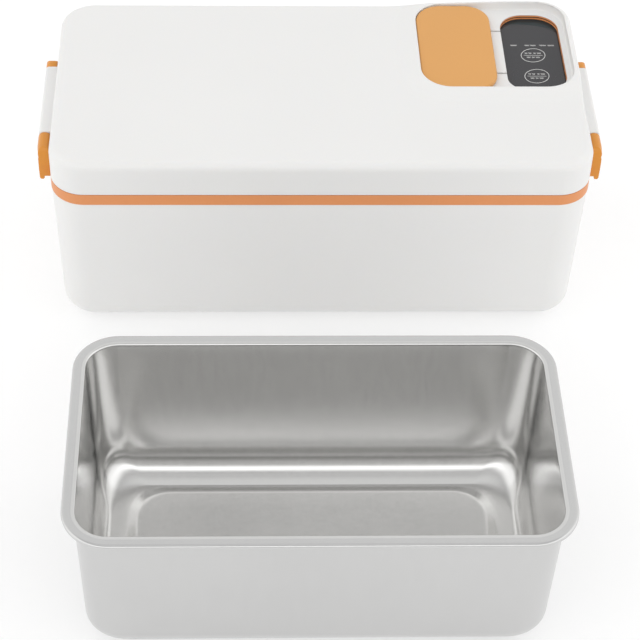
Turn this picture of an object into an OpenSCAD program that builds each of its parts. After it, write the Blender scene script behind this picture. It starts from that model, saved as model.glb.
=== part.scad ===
/* [Box] */
// Overall width of the base and lid, left to right
box_w = 240; // [238:1:248]
// Overall depth of the base and lid, front to back
box_d = 120; // [119:1:126]
// Plan radius of the box's vertical corners
corner_r = 15.4; // [14:0.1:17]
// Height of the lid's flat top above the table
lid_top_z = 97.8; // [97.8:0.1:102]
// Height at which the coloured seam band starts
band_z = 75.3; // [75:0.1:75.6]
// Height of the coloured seam band
band_h = 5.5; // [5:0.1:5.7]
// Height of the shell's underside above the table, set by the feet
foot_h = 1.0; // [0.6:0.1:1.4]
// Wall thickness of the moulded shells
wall = 2.2; // [1.8:0.1:2.4]
// Radius of the rounding at the bottom of the base
base_round = 11; // [9:0.5:12]
// Draft of the base's sides between the band and the bottom rounding
base_draft = 1.6; // [1:0.1:2]
// Radius of the rounding on top of the lid
lid_round = 4; // [2.5:0.1:5]

/* [Food tray] */
// Width of the tray over its rim
tray_w = 196.6; // [190:0.2:197]
// Depth of the tray over its rim
tray_d = 110.8; // [106:0.2:111]
// Height of the tray
tray_h = 75.7; // [74:0.1:75.8]
// Plan radius of the rim's corners
tray_r = 18.4; // [16:0.2:20]
// Width of the flat rim
rim_w = 4.5; // [3.5:0.1:5]
// Thickness of the pressed sheet
sheet_t = 0.8; // [0.6:0.1:1]
// Radius between the tray's walls and its floor
tray_round = 16; // [12:0.5:18]
// Width of the curve between the tray's end walls and its floor
tray_end = 9; // [7:0.5:16]
// Position of the tray's centre beside the box, left to right
tray_x = -5.5; // [-20:0.5:20]
// Position of the tray's centre in front of the box, front to back
tray_y = -196.6; // [-240:0.2:-130]

/* [Control recess] */
// Depth of the recess deck below the lid's flat top
deck_drop = 2.2; // [2:0.1:2.6]
// Height of the soft lip around the recess above the lid's flat top
lip_h = 2.4; // [1.8:0.1:2.6]
// Left edge of the recess
rec_x0 = 46.8; // [46:0.1:48]
// Front edge of the recess
rec_y0 = -6.8; // [-7.5:0.1:-6]
// Travel of the sliding cover
cover_travel = 33; // [30:0.5:33.5]

/* [Latches] */
// Front end of each latch
latch_y0 = -40; // [-42:0.2:-36]
// Length of each latch, front to back
latch_len = 65.6; // [62:0.2:70]
// Length of the latch's front arm
front_arm = 12; // [9:0.2:13]
// Length of the latch's rear arm
rear_arm = 4.8; // [4:0.2:12]
// Radius of the latch's hinge pin
pin_r = 1.2; // [1:0.05:1.4]

/* [Hidden] */
$fn = 64;
e = 0.01;
hx = box_w / 2;
hy = box_d / 2;
band_top = band_z + band_h;
lid_z = band_top + 0.15;
deck_z = lid_top_z - deck_drop;
lip_z = lid_top_z + lip_h;
seat_z = band_top + 3;
tray_up_z = seat_z + 1.4;
pot_floor_z = tray_up_z - tray_h - 0.7;
pot_hx = tray_w / 2 - rim_w + 2.8;
pot_hy = tray_d / 2 - rim_w + 2.8;
pot_r = tray_r - 1.4;
post_x = hx - 17;
post_y = hy - 18;
rec_x1 = hx - 2.9;
rec_y1 = hy - 2;
win_x0 = rec_x0 + 40;
win_x1 = rec_x1 - 2.8;
win_y0 = rec_y0 + 3.7;
win_y1 = rec_y1 - 4.2;
slot_y = [rec_y0 + 15.4, rec_y0 + 47.6];
hinge_x = hx + 3.2;
hinge_z = band_top + 6;
latch_y = latch_y0 + latch_len / 2;
block_len = latch_len - front_arm - rear_arm - 0.8;
block_y = latch_y0 + front_arm + 0.4 + block_len / 2;
inlet_y = 24;
inlet_z = 38;
white = [0.93, 0.93, 0.92];
orange = [0.87, 0.60, 0.36];
latch_orange = [0.87, 0.61, 0.32];

// rounded rectangle about the origin
module rrect(w, d, r) {
  square([w - 2 * r, d], center = true);
  square([w, d - 2 * r], center = true);
  for (x = [-1, 1], y = [-1, 1]) translate([x * (w / 2 - r), y * (d / 2 - r)]) circle(r);
}

// rectangle between two corners whose four corners have their own radii, from front left anticlockwise
module rrect4(x0, y0, x1, y1, r) {
  m = max(r);
  translate([x0, y0 + m]) square([x1 - x0, y1 - y0 - 2 * m]);
  translate([x0 + m, y0]) square([x1 - x0 - 2 * m, y1 - y0]);
  c = [[x0, y0, 1, 1], [x1, y0, -1, 1], [x1, y1, -1, -1], [x0, y1, 1, -1]];
  for (i = [0:3]) {
    x = c[i][0]; y = c[i][1]; u = c[i][2]; v = c[i][3];
    translate([x + u * r[i], y + v * r[i]]) circle(r[i]);
    translate([min(x + u * r[i], x + u * (m + e)), min(y, y + v * (m + e))]) square([m + e - r[i], m + e]);
    translate([min(x, x + u * (m + e)), min(y + v * r[i], y + v * (m + e))]) square([m + e, m + e - r[i]]);
  }
}

module slab(w, d, r, z) translate([0, 0, z]) linear_extrude(e) rrect(w, d, r, $fn = 48);

// solid tub with straight drafted sides and a round bottom edge; k is how fast the plan corners tighten towards the floor
module tub(ax, ay, r, z0, z1, draft, rb, k = 0.8) {
  hull() {
    slab(2 * ax, 2 * ay, r, z1 - e);
    for (a = [0:15:90]) {
      i = draft + rb * (1 - cos(a));
      slab(2 * (ax - i), 2 * (ay - i), max(r - i * k, 2.5), z0 + rb * (1 - sin(a)));
    }
  }
}

// solid tub whose floor curve is narrower at the two ends than along the sides
module long_tub(ax, ay, r, z0, z1, draft, rx, ry, k) {
  hull() {
    slab(2 * ax, 2 * ay, r, z1 - e);
    for (a = [0:15:90]) {
      c = 1 - cos(a);
      slab(2 * (ax - draft - rx * c), 2 * (ay - draft - ry * c), r + k * ry * c, z0 + ry * (1 - sin(a)));
    }
  }
}

function unit(v) = v / norm(v);
function run_dir(p, i) = unit((i > 0 ? unit(p[i] - p[i - 1]) : [0, 0, 0]) + (i < len(p) - 1 ? unit(p[i + 1] - p[i]) : [0, 0, 0]));

// wire swept along straight runs through the given points
module lead(p, r) {
  n = 8;
  ring = [for (i = [0:len(p) - 1]) let (t = run_dir(p, i), u = unit(cross(t, [0.31, 0.17, 0.93])), v = cross(t, u)) for (k = [0:n - 1]) p[i] + r * (cos(360 * k / n) * u + sin(360 * k / n) * v)];
  m = len(p);
  side = [for (i = [0:m - 2], k = [0:n - 1]) let (a = i * n + k, b = i * n + (k + 1) % n) each [[a, b, b + n], [a, b + n, a + n]]];
  polyhedron(ring, concat(side, [[for (k = [n - 1:-1:0]) k], [for (k = [0:n - 1]) (m - 1) * n + k]]));
}

module at_posts() for (x = [-1, 1], y = [-1, 1]) translate([x * post_x, y * post_y, 0]) children();

lid_posts = [[-104, -42], [-104, 42], [0, -47], [0, 47], [104, -42]];

module base_shell() color(white) {
  difference() {
    tub(hx - 0.2, hy - 0.2, corner_r, foot_h, band_z, base_draft, base_round);
    tub(hx - 0.2 - wall, hy - 0.2 - wall, corner_r - wall, foot_h + 1.8, band_z + 1, base_draft, base_round - wall);
    at_posts() {
      translate([0, 0, -1]) cylinder(r = 3, h = foot_h + 20);
      cylinder(r = 5, h = foot_h + 0.9);
    }
    translate([hx - 10, inlet_y - 10.4, inlet_z - 6.1]) cube([20, 20.8, 12.2]);
    translate([hx - 1.5, inlet_y - 12.1, inlet_z - 8.1]) cube([10, 24.2, 16.2]);
  }
  at_posts() translate([0, 0, foot_h + 1]) difference() {
    cylinder(r = 4, h = 49.8 - foot_h - 1);
    translate([0, 0, -1]) cylinder(r = 3, h = 40);
    cylinder(r = 1.5, h = 60);
  }
  for (y = [-37.2, 9.4]) translate([hx - 8, y - 1.5, foot_h + 1.4]) difference() {
    cube([4.4, 3, 42]);
    translate([1.45, y < 0 ? 1.6 : -1.6, 6]) cube([1.7, 3, 60]);
  }
}

module rubber_feet() color([0.24, 0.24, 0.25])
  at_posts() cylinder(r = 4.9, h = foot_h + 0.9);

module base_screws() color("silver") at_posts() {
  translate([0, 0, 38.6 + foot_h - 1]) difference() {
    cylinder(r = 2.7, h = 1.4);
    translate([-2, -0.4, -1]) cube([4, 0.8, 1.6]);
    translate([-0.4, -2, -1]) cube([0.8, 4, 1.6]);
  }
  translate([0, 0, 40 + foot_h - 1]) cylinder(r = 1.45, h = 22);
}

module seam_frame() color(orange) {
  difference() {
    union() {
      translate([0, 0, band_z]) linear_extrude(band_h) rrect(box_w, box_d, corner_r);
      translate([0, 0, band_z - 4]) linear_extrude(4.5) rrect(box_w - 2 * wall - 0.9, box_d - 2 * wall - 0.9, corner_r - wall - 0.4);
      translate([0, 0, band_top - 1]) linear_extrude(2.5) rrect(2 * pot_hx + 5.8, 2 * pot_hy + 5.6, pot_r + 2.8);
      for (s = [-1, 1]) translate([s > 0 ? hx - 3 : -hx - 2.6, block_y - block_len / 2 + 0.6, band_z + 1]) cube([5.6, block_len - 1.2, 2]);
    }
    translate([0, 0, band_z - 5]) linear_extrude(band_h + 3.2) rrect(box_w - 2 * wall - 3.8, box_d - 2 * wall - 3.8, corner_r - wall - 1.9);
    translate([0, 0, band_z - 5]) linear_extrude(20) rrect(2 * pot_hx + 1.2, 2 * pot_hy + 1.2, pot_r + 0.6);
    translate([hx - 17, 0, band_z]) cube([10.4, 24.4, 10]);
  }
  at_posts() difference() {
    translate([0, 0, 50]) cylinder(r = 3.5, h = band_top - 51);
    translate([0, 0, 49]) cylinder(r = 1.5, h = 13.6);
  }
}

module liner_pot() color([0.72, 0.73, 0.74]) difference() {
  union() {
    tub(pot_hx, pot_hy, pot_r, pot_floor_z - 1.4, seat_z - 0.6, 0.3, 13.5);
    translate([0, 0, band_top + 1.5]) linear_extrude(1.2) rrect(2 * pot_hx + 5.8, 2 * pot_hy + 5.6, pot_r + 2.8);
  }
  tub(pot_hx - 1.5, pot_hy - 1.5, pot_r - 1.5, pot_floor_z, seat_z + 1, 0.3, 12);
}

module heating_plate() color([0.8, 0.8, 0.81]) translate([0, 0, pot_floor_z - 3])
  linear_extrude(1.6) rrect(150, 72, 8);

module ptc_heaters() color([0.78, 0.62, 0.45]) for (y = [-14, 14])
  translate([-68, y - 8, pot_floor_z - 5]) cube([136, 16, 2]);

module insulation_pad() color([0.95, 0.95, 0.9]) translate([0, 0, foot_h + 1.8])
  linear_extrude(pot_floor_z - 6.8 - foot_h) rrect(158, 78, 6);

module thermostat() color([0.2, 0.2, 0.22]) {
  translate([pot_hx, -16, 60]) rotate([0, 90, 0]) {
    cylinder(r = 8, h = 2.5);
    cylinder(r = 6.4, h = 9);
  }
  for (y = [-19, -13]) translate([pot_hx + 8, y - 1.5, 59.6]) cube([6, 3, 0.8]);
}

module thermal_fuse() color([0.85, 0.83, 0.75]) {
  translate([pot_hx, -24, 45]) cube([3, 16, 4]);
  translate([pot_hx + 3, -16, 47]) rotate([90, 0, 0]) cylinder(r = 1.8, h = 20, center = true);
}

module power_inlet() color([0.13, 0.13, 0.14]) difference() {
  union() {
    translate([hx - 19, inlet_y - 10.2, inlet_z - 5.9]) cube([18, 20.4, 11.8]);
    translate([hx - 1.5, inlet_y - 12, inlet_z - 8]) cube([1.3, 24, 16]);
  }
  translate([hx - 11, inlet_y - 4.3, inlet_z]) rotate([0, 90, 0]) cylinder(r = 4.2, h = 20);
  translate([hx - 11, inlet_y + 4.3, inlet_z]) rotate([0, 90, 0]) cylinder(r = 4.2, h = 20);
  translate([hx - 11, inlet_y - 4.3, inlet_z - 2]) cube([20, 8.6, 4]);
  for (y = [-4.3, 4.3]) translate([hx - 25, inlet_y + y, inlet_z]) rotate([0, 90, 0]) cylinder(r = 1.2, h = 20);
}

module inlet_pins() color([0.8, 0.72, 0.5]) for (y = [-4.3, 4.3])
  translate([hx - 20.5, inlet_y + y, inlet_z]) rotate([0, 90, 0]) cylinder(r = 1.19, h = 17.5);

module power_board() color([0.16, 0.42, 0.24])
  translate([hx - 6.5, -37, foot_h + 7.6]) cube([1.6, 46.2, 34]);

module power_board_parts() {
  x = hx - 6.5;
  color([0.15, 0.3, 0.6]) translate([x - 14, -30, 16]) cube([14, 18, 14]);
  color([0.12, 0.12, 0.13]) translate([x, -4, 34]) rotate([0, -90, 0]) cylinder(r = 4.8, h = 12);
  color([0.85, 0.8, 0.3]) translate([x - 11, -9, 18]) cube([11, 8, 9]);
  color([0.3, 0.55, 0.4]) translate([x - 9, 1, 20]) cube([9, 6.6, 8]);
  color([0.3, 0.55, 0.4]) translate([x - 8, -20, 9]) cube([8, 14, 5]);
  color([0.9, 0.9, 0.88]) translate([x - 6, -24, 36]) cube([6, 10, 5]);
}

module mains_leads() {
  color([0.5, 0.3, 0.2]) lead([[hx - 20.6, inlet_y - 4.3, inlet_z], [hx - 21.4, inlet_y - 4.3, inlet_z], [hx - 22, inlet_y - 4.3, inlet_z - 4], [hx - 21, 18, 26], [hx - 12, 11, 24], [hx - 12, 7.7, 24]], 0.7);
  color([0.2, 0.35, 0.7]) lead([[hx - 20.6, inlet_y + 4.3, inlet_z], [hx - 21.4, inlet_y + 4.3, inlet_z], [hx - 22, inlet_y + 4.3, inlet_z - 6], [hx - 18, 20, 20], [hx - 9, 12, 22], [hx - 9, 7.7, 22]], 0.7);
}

module heater_leads() color([0.75, 0.2, 0.18]) {
  lead([[hx - 11, -17, 8.9], [hx - 11, -17, 7.8], [hx - 16, -17, 6.4], [84, -16, pot_floor_z - 4], [71, -14, pot_floor_z - 4], [68.1, -14, pot_floor_z - 4]], 0.7);
  lead([[hx - 11, -9, 8.9], [hx - 11, -9, 7.8], [hx - 16, -8, 6.4], [86, 8, pot_floor_z - 4], [71, 14, pot_floor_z - 4], [68.1, 14, pot_floor_z - 4]], 0.7);
  lead([[-68.1, -14, pot_floor_z - 4], [-72, -14, pot_floor_z - 4], [-72, 14, pot_floor_z - 4], [-68.1, 14, pot_floor_z - 4]], 0.7);
}

module signal_leads() color([0.9, 0.8, 0.25]) for (i = [0:2])
  lead([[hx - 9.5, -22 + 3 * i, 41.1], [hx - 8.2, -21 + 3 * i, 52], [hx - 8.2, -10 + 3 * i, 64], [hx - 12, 8 + 4 * i, 70], [hx - 12, 8 + 4 * i, 72.9]], 0.6);

module base_contact_block() color([0.15, 0.15, 0.16]) difference() {
  union() {
    translate([hx - 16.9, 0.1, band_z + 0.5]) cube([10.2, 24.2, band_h - 0.5]);
    translate([hx - 16, 2, 73]) cube([8.4, 20.4, 3]);
  }
  for (y = [6, 12, 18]) translate([hx - 11.8, y, 74]) cylinder(r = 1.1, h = 20);
}

module base_contact_pins() color([0.85, 0.68, 0.3]) for (y = [6, 12, 18])
  translate([hx - 11.8, y, 74]) {
    cylinder(r = 1.05, h = band_top - 74);
    translate([0, 0, band_top - 74]) cylinder(r = 0.8, h = 0.9);
  }

module lid_shell() color(white) {
  difference() {
    union() {
      difference() {
        union() {
          hull() {
            slab(box_w - 0.06, box_d - 0.06, corner_r - 0.03, lid_z);
            for (a = [0:15:90]) slab(box_w - 2 * lid_round * (1 - cos(a)), box_d - 2 * lid_round * (1 - cos(a)), corner_r - lid_round * (1 - cos(a)), lid_top_z - e - lid_round * (1 - sin(a)));
          }
          hull() {
            for (s = [[lid_top_z - 6, 0, 8.2, corner_r], [lid_top_z - 1, 0.03, 8, corner_r], [lip_z - 0.9, 0.3, 3.4, corner_r - 0.3], [lip_z - 0.3, 0.6, 2.4, corner_r - 0.6], [lip_z - e, 1.1, 1.5, corner_r - 1.1]])
              translate([0, 0, s[0]]) linear_extrude(e) rrect4(rec_x0 - s[2], rec_y0 - s[2], hx - s[1], hy - s[1], [s[3], s[3], s[3], s[3]], $fn = 48);
          }
        }
        hull() {
          slab(box_w - 2 * wall + 0.1, box_d - 2 * wall + 0.1, corner_r - wall + 0.05, lid_z - 1);
          for (a = [0:30:90]) slab(box_w - 2 * wall - 4 * (1 - cos(a)), box_d - 2 * wall - 4 * (1 - cos(a)), corner_r - wall - 2 * (1 - cos(a)), lid_top_z - wall - 2 * (1 - sin(a)));
        }
      }
      translate([0, 0, deck_z - 1]) linear_extrude(3) rrect4(rec_x0 - 1.8, rec_y0 - 1.8, hx - 1, hy - 1, [14, 14, 14, 14]);
      for (p = lid_posts) translate([p[0], p[1], band_top + 7]) difference() {
        cylinder(r = 3.2, h = lid_top_z - 1 - band_top - 7);
        translate([0, 0, -1]) cylinder(r = 1.2, h = 8);
      }
    }
    translate([0, 0, deck_z]) linear_extrude(20) rrect4(rec_x0, rec_y0, rec_x1, rec_y1, [13.5, 13.8, 13, 12.8]);
    translate([0, 0, deck_z - 5]) linear_extrude(20) rrect4(win_x0, win_y0, win_x1, win_y1, [8, 9.5, 10.9, 11.2]);
    for (y = slot_y) translate([rec_x0 + 1, y - 0.6, deck_z - 5]) cube([win_x0 - rec_x0 + 1, 1.2, 10]);
  }
  for (s = [0, 1]) mirror([s, 0, 0]) difference() {
    hull() for (q = [[-1.5, hinge_z + 1.6, 1.5], [-1.5, hinge_z - 2.7, 1.5], [hinge_x - hx + 0.7, hinge_z + 1.6, 1.5], [hinge_x - hx + 0.7, hinge_z - 2.7, 1.5]])
      translate([hx + q[0], block_y, q[1]]) rotate([90, 0, 0]) cylinder(r = q[2], h = block_len, center = true, $fn = 32);
    translate([hinge_x, latch_y, hinge_z]) rotate([90, 0, 0]) cylinder(r = pin_r + 0.02, h = 100, center = true);
    translate([hx - 10, -50, hinge_z - 10]) cube([8.6, 100, 20]);
  }
}

module lid_liner() color([0.9, 0.91, 0.92]) difference() {
  union() {
    translate([0, 0, band_top + 5.8]) linear_extrude(1.2) rrect(box_w - 2 * wall - 0.8, box_d - 2 * wall - 0.8, corner_r - wall - 0.4);
    for (p = [[64, 2], [64, 50], [113, 50]]) translate([p[0] - 2, p[1] - 2, band_top + 6.5]) cube([4, 4, deck_z - 5 - band_top - 6.5]);
    for (g = [0.4, 4.6]) translate([0, 0, band_top + 5.1]) linear_extrude(1) difference() {
      rrect(tray_w - 2 * g, tray_d - 2 * g, tray_r - g);
      rrect(tray_w - 2 * g - 1.2, tray_d - 2 * g - 1.2, tray_r - g - 0.6);
    }
  }
  for (p = lid_posts) translate([p[0], p[1], band_top]) cylinder(r = 1.5, h = 20);
  translate([hx - 16, 2.8, band_top]) cube([8.4, 18.4, 20]);
}

module lid_gasket() color([0.96, 0.96, 0.94]) translate([0, 0, band_top + 4.6]) linear_extrude(1.2) difference() {
  rrect(tray_w - 2.2, tray_d - 2.2, tray_r - 1.1);
  rrect(tray_w - 9, tray_d - 9, tray_r - 4.5);
}

module lid_screws() color("silver") for (p = lid_posts) translate([p[0], p[1], band_top + 4.5]) {
  difference() {
    cylinder(r = 2.6, h = 1.3);
    translate([-1.8, -0.35, -1]) cube([3.6, 0.7, 1.6]);
    translate([-0.35, -1.8, -1]) cube([0.7, 3.6, 1.6]);
  }
  cylinder(r = 1.15, h = 8.5);
}

module panel_bezel() color(orange) translate([0, 0, deck_z - 2.4]) linear_extrude(1.4) difference() {
  rrect4(win_x0 - 1.6, win_y0 - 1.6, win_x1 + 1.6, win_y1 + 1.6, [9.6, 11, 12.4, 12.7]);
  rrect4(win_x0, win_y0, win_x1, win_y1, [8, 9.5, 10.9, 11.2]);
}

module touch_panel() color([0.33, 0.33, 0.34]) translate([0, 0, deck_z - 3.6]) linear_extrude(1.2)
  rrect4(win_x0 - 1.6, win_y0 - 1.6, win_x1 + 1.6, win_y1 + 1.6, [9.6, 11, 12.4, 12.7]);

module control_board() color([0.16, 0.42, 0.24]) translate([0, 0, deck_z - 5]) linear_extrude(1.4)
  rrect4(58, win_y0 - 1, win_x1 + 1.4, win_y1 + 1, [2, 8, 8, 2]);

module control_board_parts() {
  color([0.1, 0.1, 0.11]) translate([66, 27, deck_z - 3.6]) cylinder(r = 5, h = 2.2);
  color([0.12, 0.12, 0.13]) translate([74, 22, deck_z - 3.6]) cube([7, 7, 1]);
  color([0.12, 0.12, 0.13]) translate([73, 33, deck_z - 3.6]) cube([5, 4, 1]);
  color([0.85, 0.8, 0.65]) for (y = [3, 18, 34, 50]) translate([60, y, deck_z - 3.6]) cube([3, 1.6, 0.8]);
}

module lid_contact_block() color([0.15, 0.15, 0.16])
  translate([hx - 15.9, 2.9, band_top + 1.4]) cube([8.2, 18.2, deck_z - 5 - band_top - 1.4]);

module lid_contact_pads() color([0.85, 0.68, 0.3]) for (y = [6, 12, 18])
  translate([hx - 13.8, y - 1.5, band_top + 1.1]) cube([4, 3, 0.3]);

module hinge_pin() color("silver") translate([hinge_x, latch_y, hinge_z]) rotate([90, 0, 0])
  cylinder(r = pin_r, h = latch_len - 3.6, center = true);

module left_hinge_pin() mirror([1, 0, 0]) hinge_pin();
module right_hinge_pin() hinge_pin();

module sliding_cover() color(latch_orange) {
  translate([0, 0, deck_z + 0.5]) linear_extrude(2.5)
    rrect4(rec_x0 + 0.5, rec_y0 + 0.5, rec_x0 + 35, rec_y1 - 0.8, [13, 11.5, 11.5, 12.2]);
  for (y = slot_y) {
    translate([rec_x0 + 1.6, y - 0.35, deck_z - 2.3]) cube([2.3, 0.7, 3]);
    translate([rec_x0 + 1.6, y - 3, deck_z + 0.1]) cube([20, 6, 0.6]);
  }
}

module cover_retainers() color(white) for (y = slot_y) difference() {
  translate([rec_x0 + 1.2, y - 2.4, deck_z - 2.4]) cube([3.1, 4.8, 1]);
  translate([rec_x0 + 1.6, y - 0.35, deck_z - 3]) cube([2.3, 0.7, 3]);
}

// clip drawn at the right-hand end
module latch() color(latch_orange) translate([hx, latch_y, 0]) difference() {
  union() {
    for (a = [[-latch_len / 2, front_arm], [latch_len / 2 - rear_arm, rear_arm]]) translate([0, a[0] + a[1], 0]) rotate([90, 0, 0]) linear_extrude(a[1]) {
      translate([3.2, hinge_z]) circle(2.9);
      polygon([[0.5, hinge_z - 11.8], [6.1, hinge_z - 11.8], [6.2, hinge_z - 6], [6.1, hinge_z], [0.35, hinge_z], [0.5, hinge_z - 5]]);
    }
    rotate([90, 0, 0]) linear_extrude(latch_len, center = true) {
      translate([3.4, hinge_z - 12.6]) square([2.7, 7]);
      translate([4.4, hinge_z - 13.6]) square([0.7, 2]);
      translate([4.4, hinge_z - 12.6]) circle(1);
      translate([5.1, hinge_z - 12.6]) circle(1);
    }
    translate([0.6, block_y - latch_y - block_len / 2 + 0.6, hinge_z - 12.7]) cube([3, block_len - 1.2, 1.8]);
  }
  translate([3.2, 0, hinge_z]) rotate([90, 0, 0]) cylinder(r = pin_r + 0.05, h = latch_len - 3, center = true);
}

module left_latch() mirror([1, 0, 0]) latch();
module right_latch() latch();

module food_tray() color([0.78, 0.78, 0.79]) translate([tray_x, tray_y, 0]) {
  bx = tray_w / 2 - rim_w;
  by = tray_d / 2 - rim_w;
  br = tray_r - rim_w;
  difference() {
    union() {
      long_tub(bx, by, br, 0, tray_h - 0.1, 1.3, tray_end, tray_round, 0.36);
      translate([0, 0, tray_h - 1.3]) linear_extrude(1.3) rrect(tray_w, tray_d, tray_r);
    }
    difference() {
      long_tub(bx - sheet_t, by - sheet_t, br - sheet_t, sheet_t, tray_h + 1, 1.3, tray_end - sheet_t, tray_round - sheet_t, 0.36);
      linear_extrude(sheet_t + 1.6) rrect(tray_w - 49, tray_d - 44, 14);
    }
    translate([0, 0, -1]) linear_extrude(2.6) rrect(tray_w - 51, tray_d - 46, 13);
  }
}

base_shell();
rubber_feet();
base_screws();
seam_frame();
liner_pot();
heating_plate();
ptc_heaters();
insulation_pad();
thermostat();
thermal_fuse();
power_inlet();
inlet_pins();
power_board();
power_board_parts();
mains_leads();
heater_leads();
signal_leads();
base_contact_block();
base_contact_pins();
lid_shell();
lid_liner();
lid_gasket();
lid_screws();
panel_bezel();
touch_panel();
control_board();
control_board_parts();
lid_contact_block();
lid_contact_pads();
left_hinge_pin();
right_hinge_pin();
sliding_cover();
cover_retainers();
left_latch();
right_latch();
food_tray();
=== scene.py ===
import math

import bmesh
import bpy
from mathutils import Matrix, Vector
from mathutils.geometry import delaunay_2d_cdt


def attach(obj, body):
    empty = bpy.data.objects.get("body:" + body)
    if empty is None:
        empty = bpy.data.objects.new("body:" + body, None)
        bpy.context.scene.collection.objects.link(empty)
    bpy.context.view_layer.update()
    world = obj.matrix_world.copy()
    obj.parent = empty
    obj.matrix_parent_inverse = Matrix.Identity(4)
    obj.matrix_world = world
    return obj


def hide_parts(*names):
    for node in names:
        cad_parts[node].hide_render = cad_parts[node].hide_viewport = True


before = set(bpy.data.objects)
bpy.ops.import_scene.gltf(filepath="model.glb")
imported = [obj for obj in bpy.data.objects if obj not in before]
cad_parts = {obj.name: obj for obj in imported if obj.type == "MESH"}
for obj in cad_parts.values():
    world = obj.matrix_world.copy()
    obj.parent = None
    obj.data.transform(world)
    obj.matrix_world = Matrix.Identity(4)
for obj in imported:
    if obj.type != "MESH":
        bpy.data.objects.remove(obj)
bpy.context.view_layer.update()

MM = 0.001
scene = bpy.context.scene
scene.view_settings.view_transform = "Standard"
scene.view_settings.look = "None"

# ---------------------------------------------------------------- camera
cam_data = bpy.data.cameras.new("camera")
cam_data.sensor_width = 36
cam_data.lens = 110.34
cam_data.shift_x = 20 / 640
cam_data.clip_start = 0.02
cam_data.clip_end = 60
camera = bpy.data.objects.new("camera", cam_data)
camera.location = (-0.0352, -0.70988, 0.64904)
camera.rotation_euler = (math.radians(45.217), math.radians(-1.136), math.radians(-1.252))
scene.collection.objects.link(camera)
scene.camera = camera


# ---------------------------------------------------------------- materials
def nodes_of(m):
    m.use_nodes = True
    t = m.node_tree
    t.nodes.clear()
    return t


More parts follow.
